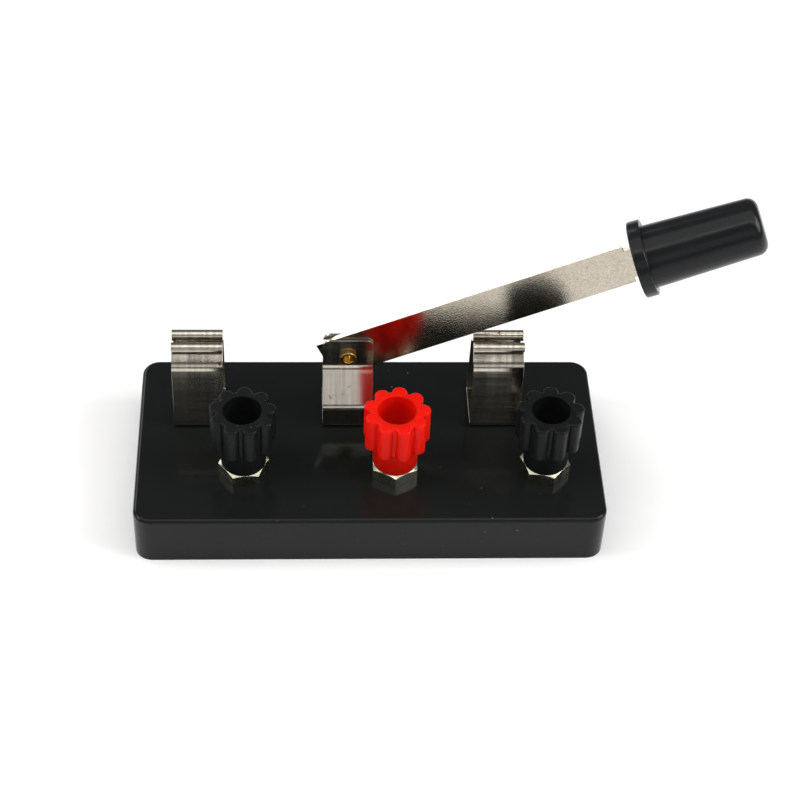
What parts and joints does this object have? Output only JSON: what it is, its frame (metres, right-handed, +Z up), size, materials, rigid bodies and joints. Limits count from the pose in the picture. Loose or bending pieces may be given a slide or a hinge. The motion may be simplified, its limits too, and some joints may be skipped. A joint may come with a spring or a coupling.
{
  "type": "knife blade switch",
  "caption": "Double-throw knife switch on a moulded base: a hinged blade with an insulated grip swings between two spring jaws, wired through screw-down terminals.",
  "frame": {"origin": "middle of the base's underside, on the bench", "axes": "+X along the base towards the side the blade is stored on, +Y from the terminals to the clips, +Z up"},
  "size_m": [0.1388, 0.051, 0.0748],
  "materials": {
    "base_moulding": "glossy black moulding",
    "plated_spring_strip": "bright nickel plate",
    "blade_plate": "bright nickel plate with fine grain",
    "plated_hardware": "warm zinc or nickel plate",
    "brass_parts": "plain brass",
    "rivet_brass": "bright brass",
    "black_knob": "semi-gloss black moulding",
    "red_knob": "semi-gloss red moulding",
    "handle_moulding": "glossy black moulding"
  },
  "bodies": {
    "switch_base": {"base": "base_moulding", "left_jaw": "plated_spring_strip", "left_clip_screw": "plated_hardware", "left_clip_washer": "plated_hardware", "left_clip_nut": "plated_hardware", "left_link_strip": "brass_parts", "left_post_bolt": "plated_hardware", "left_post_nut": "plated_hardware", "pivot_bracket": "plated_spring_strip", "centre_clip_screw": "plated_hardware", "centre_clip_washer": "plated_hardware", "centre_clip_nut": "plated_hardware", "centre_link_strip": "brass_parts", "centre_post_bolt": "plated_hardware", "centre_post_nut": "plated_hardware", "right_jaw": "plated_spring_strip", "right_clip_screw": "plated_hardware", "right_clip_washer": "plated_hardware", "right_clip_nut": "plated_hardware", "right_link_strip": "brass_parts", "right_post_bolt": "plated_hardware", "right_post_nut": "plated_hardware", "pivot_rivet": "rivet_brass"},
    "blade_arm": {"blade": "blade_plate", "handle": "handle_moulding"},
    "left_terminal_insert": {"left_knob_insert": "brass_parts"},
    "left_terminal_knob": {"left_knob": "black_knob"},
    "centre_terminal_insert": {"centre_knob_insert": "brass_parts"},
    "centre_terminal_knob": {"centre_knob": "red_knob"},
    "right_terminal_insert": {"right_knob_insert": "brass_parts"},
    "right_terminal_knob": {"right_knob": "black_knob"}
  },
  "joints": [
    {"name": "blade_swing", "type": "hinge", "parent": "switch_base", "child": "blade_arm", "pos_m": [-0.0049, 0.00985, 0.03075], "axis": [0, -1, 0], "range_deg": [-24.25, 155.75]},
    {"name": "left_knob_lift", "type": "slide", "parent": "switch_base", "child": "left_terminal_insert", "axis": [0, 0, 1], "range_m": [0, 0.004]},
    {"name": "left_knob_turn", "type": "hinge", "parent": "left_terminal_insert", "child": "left_terminal_knob", "pos_m": [-0.02855, -0.0098, 0.01625], "axis": [0, 0, 1], "range_deg": [0, 1440]},
    {"name": "centre_knob_lift", "type": "slide", "parent": "switch_base", "child": "centre_terminal_insert", "axis": [0, 0, 1], "range_m": [0, 0.004]},
    {"name": "centre_knob_turn", "type": "hinge", "parent": "centre_terminal_insert", "child": "centre_terminal_knob", "pos_m": [0.0056, -0.0098, 0.01625], "axis": [0, 0, 1], "range_deg": [0, 1440]},
    {"name": "right_knob_lift", "type": "slide", "parent": "switch_base", "child": "right_terminal_insert", "axis": [0, 0, 1], "range_m": [0, 0.004]},
    {"name": "right_knob_turn", "type": "hinge", "parent": "right_terminal_insert", "child": "right_terminal_knob", "pos_m": [0.03975, -0.0098, 0.01625], "axis": [0, 0, 1], "range_deg": [0, 1440]}
  ],
  "couplings": [
    {"joint": "left_knob_turn", "follows": "left_knob_lift", "rad_per_m": 6283.2},
    {"joint": "centre_knob_turn", "follows": "centre_knob_lift", "rad_per_m": 6283.2},
    {"joint": "right_knob_turn", "follows": "right_knob_lift", "rad_per_m": 6283.2}
  ]
}
